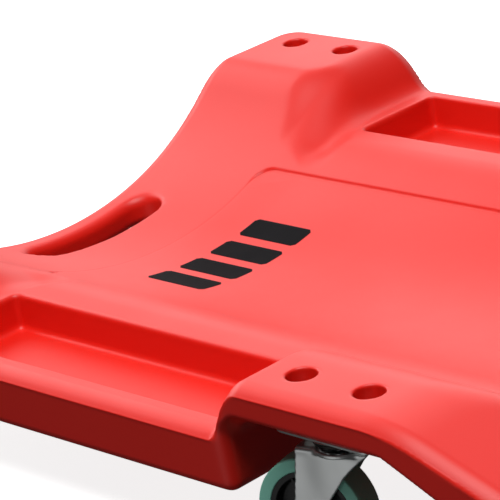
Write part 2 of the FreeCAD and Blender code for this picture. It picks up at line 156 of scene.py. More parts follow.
def top_height(x, y):
    """Height of the deck's upper surface, before the trays, slot and bolt cups."""
    side = np.abs(x)
    flat = PAD_LEVEL + 0 * x
    head_end = slope_between(y, TROUGH_HEAD, TROUGH_HEAD + TROUGH_END_RUN, TROUGH_LEVEL, RIM_LEVEL)
    hollow = soft_max(trough(x), head_end, TROUGH_END_BLEND)
    inner = slope_between(side, *PAD_INNER["side"], PAD_LEVEL, RIM_LEVEL)

    foot = soft_min(flat, slope_between(y, *FOOT_PAD["y"], *FOOT_PAD["level"]), FOOT_PAD["blend"])
    foot_blend = FOOT_RIM_BLEND["least"] + FOOT_RIM_BLEND["more"] * step(*FOOT_RIM_BLEND["side"], side)
    raised = soft_max(RIM_LEVEL + 0 * x, foot, foot_blend)
    for name, ramp in PAD_RAMPS.items():
        back_start, back_end = (PADS[name] - behind for behind in PAD_BACK["behind"])
        back = slope_between(y, back_start, back_end, *PAD_BACK["level"])
        pad = soft_min(flat, inner, PAD_INNER["blend"])
        pad = soft_min(pad, back, PAD_BACK["blend"])
        pad = soft_min(pad, slope_between(y, *ramp, PAD_LEVEL, RIM_LEVEL), PAD_RAMP_BLEND)
        raised = soft_max(raised, pad, PAD_RIM_BLEND)
    edge = TROUGH_EDGE_BLEND
    foot_corner = step(*edge["foot"], y) * step(*edge["head"], y) * step(*edge["side"], side)
    height = soft_min(raised, hollow, edge["least"] + edge["more"] * foot_corner)
    return height - panel_depth(x, y)


def panel_depth(x, y):
    """How far the middle panel and the groove round it are sunk. Both are faint across the foot end."""
    inside = rectangle(x, y, (-PANEL["x"], PANEL["x"]), (PANEL["foot"], PANEL["head"]), PANEL["corner"])
    along = step(PANEL["foot"], PANEL["foot"] + PANEL["fade"], y)
    share = PANEL_FAINT + PANEL_FULL * np.maximum(along, step(*PANEL["fade_side"], np.abs(x)))
    groove = PANEL["groove"] * np.exp(-(inside / PANEL["groove_half"]) ** 2)
    sunk = PANEL["depth"] * step(PANEL["edge_half"], -PANEL["edge_half"], inside)
    return share * (sunk + groove)


def under_height(x, y):
    """Height of the deck's underside, before the caster recesses."""
    belly = TROUGH_LEVEL - BELLY_THICKNESS + x ** 2 / BELLY_CURVE
    return soft_min(belly, SKIRT_LEVEL + 0 * x, BELLY_BLEND)


def steepness(height, x, y):
    """Turns a height difference into a distance: the cosine of the surface's slope."""
    reach = 0.5
    rise_x = (height(x + reach, y) - height(x - reach, y)) / (2 * reach)
    rise_y = (height(x, y + reach) - height(x, y - reach)) / (2 * reach)
    return 1 / np.sqrt(1 + rise_x ** 2 + rise_y ** 2)


def deck_field(x, y, z, plan):
    """Negative inside the deck. plan holds what depends on x and y alone."""
    top = (z - plan["top"]) * plan["top_cos"]
    under = plan["under"] - z
    parting = plan["top"] - PARTING_DROP
    draft = np.where(z > parting, UPPER_DRAFT, -LOWER_DRAFT) * (z - parting)
    bead = PARTING_BEAD["height"] * np.exp(-((z - parting) / PARTING_BEAD["half"]) ** 2)
    outline = plan["outline"] + draft - bead
    body = both(top, outline, TOP_EDGE_ROUND)
    body = both(body, under, BOTTOM_EDGE_ROUND)

    tray_walls = plan["tray"] - TRAY["draft"] * (z - RIM_LEVEL)
    body = without(body, both(tray_walls, TRAY["floor"] - z, TRAY["floor_round"]), plan["tray_mouth"])
    for recess, roof, end_zone in plan["recesses"]:
        mouth = RECESS["mouth"] + RECESS["end_mouth"] * end_zone * step(roof - 2, roof - 14, z)
        roof_round = RECESS["roof_round"] + RECESS["end_roof_round"] * end_zone
        body = without(body, both(recess, z - roof, roof_round), mouth)
    body = without(body, both(plan["screw_cups"], z - SCREW_CUP["level"], 1.0), 1.0)
    body = without(body, plan["slot"], plan["slot_mouth"])
    cups = both(plan["cups"], CUP_LEVEL - z, 1.0)
    return without(body, cups, 0.8)


def recess_plans(side, y):
    """For each caster recess: its outline, its roof's height, and where it is softened at its ends."""
    lip = RECESS["lip"] * step(228.0, 240.0, side)
    end_from, end_to = RECESS_ENDS
    plans = []
    for name, middle in PADS.items():
        near, far = middle - RECESS["half"], middle + RECESS["half"]
        ramp = 0 * side
        end_zone = step(middle - end_from, middle - end_to, y)
        if name == "foot":
            near = PAST_FOOT_END
            end_zone = 0 * side
        if name == "mid":
            far = far + MID_RECESS_RAMP["length"]
            ramp = np.maximum(y - middle - MID_RECESS_RAMP["start"], 0) * MID_RECESS_RAMP["slope"]
        else:
            end_zone = end_zone + step(middle + end_from, middle + end_to, y)
        outline = rectangle(side, y, RECESS["x"], (near, far), RECESS["corner"])
        plans.append((outline, RECESS["level"] + lip - ramp, end_zone))
    return plans


def cup_plan(side, y):
    """Distance to the nearest round bolt cup."""
    cups = np.full_like(side, FAR_AWAY)
    for middle in PADS.values():
        for end in (-1, 1):
            away = np.hypot(side - CASTER_X, y - middle - end * BOLT_PITCH / 2)
            cups = np.minimum(cups, away - CUP_RADIUS)
    return cups


def screw_cup_plan(side, y):
    """Distance to the nearest cup of a headrest screw."""
    screws = [np.hypot(side - SCREW_CUP["x"], y - SCREW_CUP["y"] - end * SCREW_CUP["half_pitch"])
              - SCREW_CUP["radius"] for end in (-1, 1)]
    return np.minimum(*screws)


def deck_plan(x, y):
    """Everything about the deck that depends on x and y alone."""
    side = np.abs(x)
    slot_span = (SLOT["near"], SLOT["far"])
    slot_middle = sum(slot_span) / 2
    slot_end_round = (SLOT["far"] - SLOT["near"]) / 2 - 0.01
    foot_side = step(slot_middle + 8, slot_middle - 10, y)
    return {
        "top": top_height(x, y), "top_cos": steepness(top_height, x, y), "under": under_height(x, y),
        "outline": rectangle(x, y, (-HALF_WIDTH, HALF_WIDTH), (-HALF_LENGTH, HALF_LENGTH), CORNER_ROUND),
        "tray": rectangle(side, y, TRAY["x"], TRAY["y"], TRAY["corner"]),
        "tray_mouth": TRAY["mouth"] + TRAY["inner_mouth"] * step(210.0, 190.0, side),
        "recesses": recess_plans(side, y),
        "cups": cup_plan(side, y),
        "screw_cups": screw_cup_plan(side, y),
        "slot": rectangle(x, y, (-SLOT["half"], SLOT["half"]), slot_span, slot_end_round),
        "slot_mouth": SLOT["mouth"] + SLOT["foot_mouth"] * foot_side,
    }


# ---------------------------------------------------------------- deck: mesh from the field

def spaced(*stops):
    """Grid lines: each stop is (end, spacing), from the first stop's end on."""
    lines = [stops[0][0]]
    for end, spacing in stops[1:]:
        count = max(1, round((end - lines[-1]) / spacing))
        lines += list(np.linspace(lines[-1], end, count + 1)[1:])
    return np.array(lines)


def deck_grid():
    """Grid lines, close together where the deck has edges and far apart where it is flat."""
    half = spaced((0, 0), (87, 5.8), (101, 0.7), (146, 4), (162, 1.4), (200, 3.8), (224, 1.6),
                  (243, 1.2), (247, 2))
    xs = np.concatenate([-half[:0:-1], half])
    ys = spaced((-512, 0), (-495, 1.4), (-446, 1.6), (-408, 2.0), (-390, 0.7), (-366, 2.0), (-350, 1.5),
                (-112, 8.0), (-66, 1.5), (12, 1.7), (60, 3.0), (150, 4.0), (296, 8.0), (304, 0.8),
                (320, 4.0), (348, 2.0), (362, 2.5), (432, 1.8), (486, 2.7), (512, 1.6))
    zs = spaced((16, 0), (50, 1.6), (60, 1.3), (69.2, 1.4), (71.8, 0.4), (84, 1.4), (100.2, 1.35),
                (102.8, 0.4), (110, 1.2))
    return xs, ys, zs


def grid_field(xs, ys, zs):
    """The deck's field at every crossing of the grid lines."""
    x, y = (part.ravel() for part in np.meshgrid(xs, ys, indexing="ij"))
    plan = deck_plan(x, y)
    layers = [deck_field(x, y, np.full_like(x, z), plan).reshape(len(xs), len(ys)) for z in zs]
    return np.stack(layers, axis=2)


def surface_net(field, xs, ys, zs):
    """A quad mesh of the field's zero surface: one point in each cell that it crosses."""
    inside = field < 0
    shape = tuple(count - 1 for count in field.shape)
    total = np.zeros(shape + (3,))
    crossings = np.zeros(shape)
    axes = (xs, ys, zs)
    faces = []
    flips = []
    for axis in range(3):
        low = np.take(field, range(field.shape[axis] - 1), axis)
        high = np.take(field, range(1, field.shape[axis]), axis)
        crossed = np.argwhere((low < 0) != (high < 0))
        a = low[tuple(crossed.T)]
        b = high[tuple(crossed.T)]
        share = a / (a - b)
        points = np.stack([axes[k][crossed[:, k]] for k in range(3)], 1)
        line = axes[axis]
        points[:, axis] += share * (line[crossed[:, axis] + 1] - line[crossed[:, axis]])
        first, second = [k for k in range(3) if k != axis]
        corners = []
        for back_first, back_second in ((0, 0), (1, 0), (1, 1), (0, 1)):
            cell = crossed.copy()
            cell[:, first] -= back_first
            cell[:, second] -= back_second
            corners.append(np.ravel_multi_index(tuple(cell.T), shape))
            np.add.at(total, tuple(cell.T), points)
            np.add.at(crossings, tuple(cell.T), 1)
        quads = np.stack(corners, 1)
        outward = (a < 0) if axis != 1 else (a >= 0)
        quads[outward] = quads[outward][:, ::-1]
        faces.append(quads)
    used = crossings.ravel() > 0
    number = np.cumsum(used) - 1
    vertices = (total.reshape(-1, 3)[used]) / crossings.ravel()[used][:, None]
    return vertices, number[np.concatenate(faces)]


def settle(vertices):
    """Moves each vertex along the field's gradient onto the surface."""
    reach, farthest_move, least_slope = 0.05, 0.6, 0.2
    for _ in range(2):
        x, y, z = vertices.T
        plan = deck_plan(x, y)
        here = deck_field(x, y, z, plan)
        ahead_x = deck_field(x + reach, y, z, deck_plan(x + reach, y))
        ahead_y = deck_field(x, y + reach, z, deck_plan(x, y + reach))
        ahead_z = deck_field(x, y, z + reach, plan)
        gradient = np.stack([ahead_x - here, ahead_y - here, ahead_z - here], 1) / reach
        size = np.maximum((gradient ** 2).sum(1), least_slope)
        move = gradient * (here / size)[:, None]
        vertices = vertices - np.clip(move, -farthest_move, farthest_move)
    return vertices


def mesh_object(name, vertices, faces):
    """A smooth-shaded object, from vertices in metres."""
    mesh = bpy.data.meshes.new(name)
    mesh.from_pydata([tuple(v) for v in vertices], [], [tuple(f) for f in faces])
    mesh.validate()
    mesh.polygons.foreach_set("use_smooth", [True] * len(mesh.polygons))
    mesh.update()
    made = bpy.data.objects.new(name, mesh)
    bpy.context.scene.collection.objects.link(made)
    return made


def build_deck():
    xs, ys, zs = deck_grid()
    field = grid_field(xs, ys, zs)
    vertices, faces = surface_net(field, xs, ys, zs)
    vertices = settle(vertices)
    deck = mesh_object("deck", vertices * MM, faces)
    deck.data.materials.append(red_plastic())
    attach(deck, "deck")
    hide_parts("deck_body")


# ---------------------------------------------------------------- materials

def new_material(name, base, roughness, metallic=0.0):
    """A material with its one shader node, and that node."""
    material = bpy.data.materials.new(name)
    material.use_nodes = True
    shader = material.node_tree.nodes["Principled BSDF"]
    shader.inputs["Base Color"].default_value = (*base, 1)
    shader.inputs["Roughness"].default_value = roughness
    shader.inputs["Metallic"].default_value = metallic
    return material, shader


def add(material, kind, **values):
    """A new node, its sockets or settings filled in by name."""
    node = material.node_tree.nodes.new(kind)
    for key, value in values.items():
        if key in node.inputs:
            node.inputs[key].default_value = value
        else:
            setattr(node, key, value)
    return node


def link(material, source, target):
    material.node_tree.links.new(source, target)


def noise_bump(material, shader, scale, strength):
    """Fine relief from a noise in object space."""
    place = add(material, "ShaderNodeTexCoord")
    noise = add(material, "ShaderNodeTexNoise", Scale=scale, Detail=3.0)
    bump = add(material, "ShaderNodeBump", Strength=strength, Distance=0.0002)
    link(material, place.outputs["Object"], noise.inputs["Vector"])
    link(material, noise.outputs["Fac"], bump.inputs["Height"])
    link(material, bump.outputs["Normal"], shader.inputs["Normal"])


def vary_roughness(material, shader, low, high, scale):
    """Roughness that drifts between low and high over the surface."""
    place = add(material, "ShaderNodeTexCoord")
    noise = add(material, "ShaderNodeTexNoise", Scale=scale, Detail=4.0)
    spread = add(material, "ShaderNodeMapRange")
    spread.inputs["To Min"].default_value = low
    spread.inputs["To Max"].default_value = high
    link(material, place.outputs["Object"], noise.inputs["Vector"])
    link(material, noise.outputs["Fac"], spread.inputs["Value"])
    link(material, spread.outputs["Result"], shader.inputs["Roughness"])


def red_plastic():
    material, shader = new_material("red_plastic", (0.75, 0.012, 0.005), 0.42)
    shader.inputs["Specular IOR Level"].default_value = 0.42
    noise_bump(material, shader, 900.0, 0.12)
    vary_roughness(material, shader, 0.38, 0.48, 14.0)
    return material


def zinc_steel():
    material, shader = new_material("zinc_steel", (0.66, 0.68, 0.675), 0.34, 1.0)
    noise_bump(material, shader, 300.0, 0.06)
    vary_roughness(material, shader, 0.28, 0.42, 60.0)
    return material


# Near-black steel, used only on the underside of the caster plate's race ring: painted shade, a dark sheet where
# the gap above the fork's crown lies in shadow.
def race_shade_steel():
    material, shader = new_material("race_shade_steel", (0.035, 0.033, 0.03), 0.4, 1.0)
    noise_bump(material, shader, 500.0, 0.1)
    vary_roughness(material, shader, 0.3, 0.5, 150.0)
    return material


def fastener_steel():
    material, shader = new_material("fastener_steel", (0.58, 0.58, 0.56), 0.3, 1.0)
    vary_roughness(material, shader, 0.22, 0.4, 200.0)
    return material


def ball_steel():
    material, shader = new_material("ball_steel", (0.72, 0.72, 0.73), 0.12, 1.0)
    vary_roughness(material, shader, 0.08, 0.2, 300.0)
    return material


def black_nylon():
    material, shader = new_material("black_nylon", (0.004, 0.004, 0.004), 0.5)
    noise_bump(material, shader, 700.0, 0.1)
    vary_roughness(material, shader, 0.4, 0.55, 60.0)
    return material


def green_rubber():
    material, shader = new_material("green_rubber", (0.24, 0.62, 0.49), 0.6)
    noise_bump(material, shader, 800.0, 0.12)
    vary_roughness(material, shader, 0.55, 0.7, 80.0)
    return material


def black_vinyl():
    material, shader = new_material("black_vinyl", (0.016, 0.016, 0.017), 0.45)
    place = add(material, "ShaderNodeTexCoord")
    cells = add(material, "ShaderNodeTexVoronoi", Scale=620.0, Randomness=0.9)
    bump = add(material, "ShaderNodeBump", Strength=0.45, Distance=0.0003)
    link(material, place.outputs["Object"], cells.inputs["Vector"])
    link(material, cells.outputs["Distance"], bump.inputs["Height"])
    link(material, bump.outputs["Normal"], shader.inputs["Normal"])
    vary_roughness(material, shader, 0.38, 0.55, 90.0)
    return material


def plywood():
    """Birch plywood: long grain across the board, and thin dark glue lines between its plies."""
    material, shader = new_material("plywood", (0.42, 0.28, 0.16), 0.7)
    place = add(material, "ShaderNodeTexCoord")
    stretch = add(material, "ShaderNodeMapping", Scale=(6.0, 110.0, 60.0))
    grain = add(material, "ShaderNodeTexNoise", Scale=1.0, Detail=5.0)
    shades = add(material, "ShaderNodeValToRGB")
    shades.color_ramp.elements[0].color = (0.30, 0.18, 0.09, 1)
    shades.color_ramp.elements[1].color = (0.56, 0.40, 0.24, 1)
    plies = add(material, "ShaderNodeTexWave", Scale=130.0, bands_direction="Z")
    glue = add(material, "ShaderNodeMapRange")
    for socket, number in (("From Min", 0.0), ("From Max", 0.25), ("To Min", 0.45), ("To Max", 1.0)):
        glue.inputs[socket].default_value = number
    shaded = add(material, "ShaderNodeVectorMath", operation="SCALE")
    link(material, place.outputs["Object"], stretch.inputs["Vector"])
    link(material, stretch.outputs["Vector"], grain.inputs["Vector"])
    link(material, grain.outputs["Fac"], shades.inputs["Fac"])
    link(material, place.outputs["Object"], plies.inputs["Vector"])
    link(material, plies.outputs["Fac"], glue.inputs["Value"])
    link(material, shades.outputs["Color"], shaded.inputs[0])
    link(material, glue.outputs["Result"], shaded.inputs["Scale"])
    link(material, shaded.outputs["Vector"], shader.inputs["Base Color"])
    vary_roughness(material, shader, 0.6, 0.8, 40.0)
    return material


def dress_cad_nodes():
    """Better materials on the CAD nodes. The nodes that later get a new shape are hidden by it."""
    makers = {"zinc_steel": zinc_steel, "fastener_steel": fastener_steel, "ball_steel": ball_steel,
              "black_nylon": black_nylon, "green_rubber": green_rubber, "board": plywood,
              "black_vinyl": black_vinyl}
    made = {}
    for part in frame["record"]["subparts"]:
        slot = part["material_slot"]
        if slot not in makers:
            continue
        if slot not in made:
            made[slot] = makers[slot]()
        node = frame["nodes"][part["node"]]
        node.data.materials.clear()
        node.data.materials.append(made[slot])
    return made


# ---------------------------------------------------------------- shapes made of loops

def rounded(corners, radius, steps=4):
    """A closed outline with each corner replaced by an arc; a radius per corner, or one for all."""
    radii = radius if isinstance(radius, (list, tuple)) else [radius] * len(corners)
    outline = []
    for index, (corner, size) in enumerate(zip(corners, radii)):
        here = np.array(corner, float)
        before = np.array(corners[index - 1], float) - here
        after = np.array(corners[(index + 1) % len(corners)], float) - here
        before_length, after_length = np.hypot(*before), np.hypot(*after)
        before, after = before / before_length, after / after_length
        half = math.acos(max(-1.0, min(1.0, float(before @ after)))) / 2
        reach = min(size / math.tan(half), 0.49 * before_length, 0.49 * after_length)
        if reach < 1e-4:
            outline.append(here)
            continue
        for share in np.linspace(0, 1, steps + 1):
            first = here + before * reach * (1 - share)
            second = here + after * reach * share
            outline.append(first * (1 - share) + second * share)
    return np.array(outline)


def skin(loops, closed_ring=False):
    """Faces between equal loops of points; open ends are closed with a fan."""
    loops = [np.asarray(loop, float) for loop in loops]
    count = len(loops[0])
    vertices = list(np.concatenate(loops))
    faces = []
    pairs = len(loops) if closed_ring else len(loops) - 1
    for level in range(pairs):
        low = level * count
        high = (level + 1) % len(loops) * count
        for k in range(count):
            after = (k + 1) % count
            faces.append((low + k, low + after, high + after, high + k))
    if not closed_ring:
        for level, turn in ((0, -1), (len(loops) - 1, 1)):
            vertices.append(loops[level].mean(0))
            ends = [(level * count + k, level * count + (k + 1) % count)[::turn] for k in range(count)]
            faces += [(first, second, len(vertices) - 1) for first, second in ends]
    return np.array(vertices), faces


def rings(profile, segments):
    """The loops that a profile of (along, radius) sweeps about the local X axis."""
    turns = np.linspace(0, 2 * math.pi, segments, endpoint=False)
    return [np.stack([along + 0 * turns, radius * np.cos(turns), radius * np.sin(turns)], 1)
            for along, radius in profile]


def lathe(profile, segments):
    """A ring about the local X axis; the profile is a closed outline of (along, radius)."""
    return skin(rings(profile, segments), closed_ring=True)


def spindle(profile, segments=48):
    """A solid of revolution about the local X axis; the profile runs from one end to the other."""
    return skin(rings(profile, segments))


def hexagon_reach(turns, across_corners):
    """Distance from the middle of a hexagon to its side, in each direction."""
    inner = across_corners * math.cos(math.pi / 6)
    return inner / np.cos((turns + math.pi / 6) % (math.pi / 3) - math.pi / 6)


def hex_solid(start, end, corner_radius, dome=0.0):
    """A hexagon head or nut along local X, chamfered at its outer end, with a dome if it has one."""
    segments, chamfer = 72, 0.577
    turns = np.linspace(0, 2 * math.pi, segments, endpoint=False)
    edge = hexagon_reach(turns, corner_radius)
    flat = corner_radius * math.cos(math.pi / 6) * 0.97
    toward = 1.0 if end > start else -1.0
    drop = np.maximum(edge - flat, 0) * chamfer * toward
    stations = [(start, edge * 0.97), (start + 0.25 * toward, edge), (end - drop - 0.2 * toward, edge),
                (end - drop * 0.6, edge * 0.985), (end, flat * 0.96)]
    if dome:
        stations += [(end, flat * 0.78), (end + 0.7 * dome * toward, flat * 0.76),
                     (end + dome * toward, flat * 0.68), (end + dome * toward, flat * 0.45)]
    vertices, faces = skin(rings(stations, segments))
    return vertices, faces if end > start else [face[::-1] for face in faces]


def gather(shapes):
    """Several shapes as one list of vertices and faces."""
    vertices, faces, count = [], [], 0
    for points, polygons in shapes:
        vertices.append(np.asarray(points, float))
        faces += [tuple(int(index) + count for index in polygon) for polygon in polygons]
        count += len(points)
    return np.concatenate(vertices), faces


def moved(shape, matrix):
    """A shape turned and shifted by a matrix."""
    points, faces = shape
    turned = np.asarray(points) @ np.array(matrix.to_3x3()).T + np.array(matrix.translation)
    return turned, faces


def piece(name, shape, material, body, slot, *nodes, sharp=None):
    """A finished piece: its mesh, its material, the body it rides on and the nodes it stands for."""
    vertices, faces = shape
    made = mesh_object(name, np.asarray(vertices) * MM, faces)
    tidy = bmesh.new()
    tidy.from_mesh(made.data)
    bmesh.ops.recalc_face_normals(tidy, faces=tidy.faces)
    if sharp is not None:
        for edge in tidy.edges:
            if len(edge.link_faces) == 2 and edge.calc_face_angle() > math.radians(sharp):
                edge.smooth = False
    tidy.to_mesh(made.data)
    tidy.free()
    made.data.materials.append(material)
    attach(made, body)
    if nodes:
        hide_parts(*nodes)
    return made


# ---------------------------------------------------------------- casters

CROWN_TOP, SHEET = 73.4, 2.5
LEG_THICK, LEG_GAP, TRAIL = 2.0, 19.7, 21.4
WHEEL_RADIUS, TREAD_WIDTH, RIM_RADIUS = 32.5, 17.3, 25.3
CROWN_RADIUS = 16.8
LEG_OUTER = LEG_GAP / 2 + LEG_THICK
PLATE_LOW, PLATE_TOP = 79.7, 81.2
LEG_OUTLINE = [(19.0, CROWN_TOP + 6), (19.0, CROWN_TOP - 1.5), (10.5, 64.8), (3.6, 58.0), (-1.5, 50.8),
               (-6.5, 44.2), (-TRAIL + 9.3, WHEEL_RADIUS + 2), (-TRAIL + 7.0, WHEEL_RADIUS - 6.5),
               (-TRAIL, WHEEL_RADIUS - 10.0), (-TRAIL - 7.0, WHEEL_RADIUS - 6.5),
               (-TRAIL - 8.6, WHEEL_RADIUS + 2), (-24.0, CROWN_TOP - 1.5), (-24.0, CROWN_TOP + 6)]
LEG_ROUNDS = [0.1, 1.5, 9, 14, 20, 16, 9, 7, 8, 7, 9, 1.5, 0.1]
LEG_WAVE = {"height": 0.55, "start": 6.0, "length": 5.2}
BALL_RACE = {"radius": 11.5, "above": 2.0, "groove": 2.9}
AXLE_BOSS, AXLE_BORE, KINGPIN_BORE = 6.8, 4.0, 4.05
HUB = {"bore": 4.1, "boss": 8.0, "boss_foot": 9.0, "rim": 3.2, "half_web": 2.6}
HUB_RIB = {"count": 6, "start": 7.4, "half": 0.9}
PLATE_HALF, PLATE_CORNER = (17.5, 35.0), 7.0
AXLE_HEX, BOLT_HEX, NUT_HEX = 6.4, 5.2, 5.7


def polygon_distance(x, y, corners):
    """Distance from points to a polygon's edge, negative inside it."""
    best = np.full(x.shape, 1e9)
    inside = np.zeros(x.shape, bool)
    for (ax, ay), (bx, by) in zip(corners, corners[1:] + corners[:1]):
        along_x, along_y = bx - ax, by - ay
        share = np.clip(((x - ax) * along_x + (y - ay) * along_y) / (along_x ** 2 + along_y ** 2), 0, 1)
        best = np.minimum(best, np.hypot(x - ax - share * along_x, y - ay - share * along_y))
        if ay != by:
            inside ^= ((ay > y) != (by > y)) & (x < ax + (y - ay) * along_x / along_y)
    return np.where(inside, -best, best)


def fork_field(across, forward, z):
    """The pressed fork: two legs bent down from a crown, with a round dished race on top."""
    outline = rounded(LEG_OUTLINE, LEG_ROUNDS, 5)
    sheet_plan = polygon_distance(forward, z, [tuple(point) for point in outline])
    wave = LEG_WAVE["height"] * np.cos((forward + LEG_WAVE["start"]) / LEG_WAVE["length"])
    wave = wave * step(30, 60, z) * step(CROWN_TOP, CROWN_TOP - 6, z)
    outer = np.abs(across) - LEG_OUTER - wave
    block = both(outer, z - CROWN_TOP, 2.6)
    inner = both(np.abs(across) - LEG_GAP / 2 - wave, z - (CROWN_TOP - SHEET), 1.2)
    bent = without(block, inner, 0.3)
    bent = both(bent, sheet_plan, 0.5)
    away = np.hypot(across, forward)
    dish = both(away - CROWN_RADIUS, z - CROWN_TOP - 0.1, 1.1)
    dish = both(dish, CROWN_TOP - SHEET - 0.1 - z, 0.5)
    solid = soft_min(bent, dish, 1.8)
    race = np.hypot(away - BALL_RACE["radius"], z - CROWN_TOP - BALL_RACE["above"]) - BALL_RACE["groove"]
    solid = without(solid, race, 0.4)
    from_axle = np.hypot(forward + TRAIL, z - WHEEL_RADIUS)
    boss = both(from_axle - AXLE_BOSS, np.abs(np.abs(across) - LEG_OUTER) - 0.5, 0.3)
    solid = soft_min(solid, boss, 0.8)
    solid = without(solid, away - KINGPIN_BORE, 0.2)
    return without(solid, from_axle - AXLE_BORE, 0.2)


def fork_shape():
    """The fork as a mesh: across its legs, forward from its kingpin, and up from the floor."""
    across = spaced((-18, 0), (-14, 0.8), (-9, 0.36), (9, 0.9), (14, 0.36), (18, 0.8))
    forward = spaced((-33, 0), (20.5, 0.75))
    z = spaced((20, 0), (69.5, 0.75), (75, 0.36))
    grid = np.meshgrid(across, forward, z, indexing="ij")
    return surface_net(fork_field(*grid), across, forward, z)


def tyre_shape():
    """The rubber tyre, with rounded shoulders."""
    half = TREAD_WIDTH / 2
    profile = rounded([(-half, RIM_RADIUS), (-half, WHEEL_RADIUS - 0.3), (-half + 1.5, WHEEL_RADIUS),
                       (half - 1.5, WHEEL_RADIUS), (half, WHEEL_RADIUS - 0.3), (half, RIM_RADIUS),
                       (half - 2, RIM_RADIUS - 0.3), (-half + 2, RIM_RADIUS - 0.3)],
                      [0.8, 1.1, 2.0, 2.0, 1.1, 0.8, 0.1, 0.1])
    return lathe(profile, 120)


def hub_shape():
    """The wheel's hub: a boss, a thin web and a rim, with ribs on both sides of the web."""
    half = TREAD_WIDTH / 2 - 0.3
    boss = LEG_GAP / 2 - 0.1
    rim_in, web = RIM_RADIUS - HUB["rim"], HUB["half_web"]
    profile = rounded([(-boss, HUB["bore"]), (-boss, HUB["boss"]), (-web, HUB["boss_foot"]),
                       (-web, rim_in - 1), (-half, rim_in), (-half, RIM_RADIUS),
                       (half, RIM_RADIUS), (half, rim_in), (web, rim_in - 1),
                       (web, HUB["boss_foot"]), (boss, HUB["boss"]), (boss, HUB["bore"])],
                      [0.3, 0.9, 1.6, 1.6, 0.7, 0.3, 0.3, 0.7, 1.6, 1.6, 0.9, 0.3])
    parts = [lathe(profile, 96)]
    rib_start, rib_end, rib_half = HUB_RIB["start"], rim_in + 0.4, HUB_RIB["half"]
    plan = rounded([(rib_start, -rib_half), (rib_end, -rib_half), (rib_end, rib_half),
                    (rib_start, rib_half)], 0.4, 2)
    rib_levels = [(web - 0.5, 0.0), (half - 2.6, 0.0), (half - 2.2, 0.35)]
    for side in (-1, 1):
        for turn in np.arange(HUB_RIB["count"]) * math.pi / 3:
            loops = []
            for along, inset in rib_levels:
                across = plan[:, 1] * (1 - inset)
                y = plan[:, 0] * math.cos(turn) - across * math.sin(turn)
                z = plan[:, 0] * math.sin(turn) + across * math.cos(turn)
                loops.append(np.stack([np.full(len(plan), side * along), y, z], 1))
            parts.append(skin(loops))
    return gather(parts)


def axle_bolt_shape():
    """The axle bolt: its shank through both legs, and its hexagon head."""
    shank = spindle([(-LEG_OUTER - 0.5, 0.5), (-LEG_OUTER - 0.5, 3.95), (LEG_OUTER + 5.3, 3.95),
                     (LEG_OUTER + 5.9, 3.4), (LEG_OUTER + 5.9, 0.5)])
    return gather([shank, hex_solid(-LEG_OUTER, -LEG_OUTER - 3.6, AXLE_HEX)])


def axle_nut_shape():
    """The axle's nut, with the low dome of its locking ring."""
    return hex_solid(LEG_OUTER, LEG_OUTER + 4.5, AXLE_HEX, dome=0.9)


def plate_shape():
    """The top plate with rounded corners, and the race ring pressed down from it."""
    half_x, half_y = PLATE_HALF
    outline = rounded([(-half_x, -half_y), (half_x, -half_y), (half_x, half_y), (-half_x, half_y)],
                      PLATE_CORNER, 6)
    middle = outline.mean(0)
    loops = []
    for level, inset in ((PLATE_LOW, 0.6), (PLATE_LOW + 0.15, 0.2), (PLATE_LOW + 0.5, 0.0),
                         (PLATE_TOP - 0.4, 0.0), (PLATE_TOP - 0.1, 0.15), (PLATE_TOP, 0.4)):
        away = outline - middle
        shrink = 1 - inset / np.hypot(*away.T)[:, None]
        flat = middle + away * shrink
        loops.append(np.column_stack([flat, np.full(len(flat), level)]))
    ring = lathe(rounded([(PLATE_LOW + 0.5, 13.2), (PLATE_LOW - 1.6, 14.9), (PLATE_LOW - 3.3, 14.9),
                          (PLATE_LOW - 3.3, 16.4), (PLATE_LOW - 1.2, 16.4), (PLATE_LOW + 0.5, 18.6)],
                         [0.3, 0.6, 0.5, 0.6, 1.2, 0.3]), 72)
    upright = Matrix.Rotation(-math.pi / 2, 4, "Y")
    return gather([skin(loops), moved(ring, upright)])


def build_casters(metal, fastener, rubber, nylon):
    """Six casters: each shape is worked out once, then placed on the joints of each caster."""
    fork, tyre, hub, plate = fork_shape(), tyre_shape(), hub_shape(), plate_shape()
    race_shade = race_shade_steel()
    bolt, nut = axle_bolt_shape(), axle_nut_shape()
    for name in CASTERS:
        swivel = Vector(JOINTS[f"swivel_turn_{name}"]["pos_m"]) / MM
        roll = JOINTS[f"wheel_roll_{name}"]
        axle = Vector(roll["pos_m"]) / MM
        turn = Matrix.Rotation(math.atan2(roll["axis"][1], roll["axis"][0]), 4, "Z")
        upright = Matrix.Translation((swivel.x, swivel.y, 0))
        lying = Matrix.Translation(axle) @ turn
        body, wheel = f"swivel_{name}", f"wheel_{name}"
        piece(f"fork_look_{name}", moved(fork, upright @ turn), metal, body, "zinc_steel",
              f"fork_{name}")
        top_plate = piece(f"plate_look_{name}", moved(plate, upright), metal, "deck", "zinc_steel",
                          f"caster_plate_{name}", sharp=40)
        # Painted shade: the race ring's underside faces get the near-black steel, which darkens the shadowed gap
        # above the crown.
        top_plate.data.materials.append(race_shade)
        for face in top_plate.data.polygons:
            if face.center.z < (PLATE_LOW - 0.1) * MM:
                face.material_index = 1
        piece(f"tyre_look_{name}", moved(tyre, lying), rubber, wheel, "green_rubber", f"tyre_{name}")
        piece(f"hub_look_{name}", moved(hub, lying), nylon, wheel, "black_nylon",
              f"wheel_hub_{name}", sharp=50)
        piece(f"axle_bolt_look_{name}", moved(bolt, lying), fastener, body, "fastener_steel",
              f"axle_bolt_{name}", sharp=25)
        piece(f"axle_nut_look_{name}", moved(nut, lying), fastener, body, "fastener_steel",
              f"axle_nut_{name}", sharp=25)


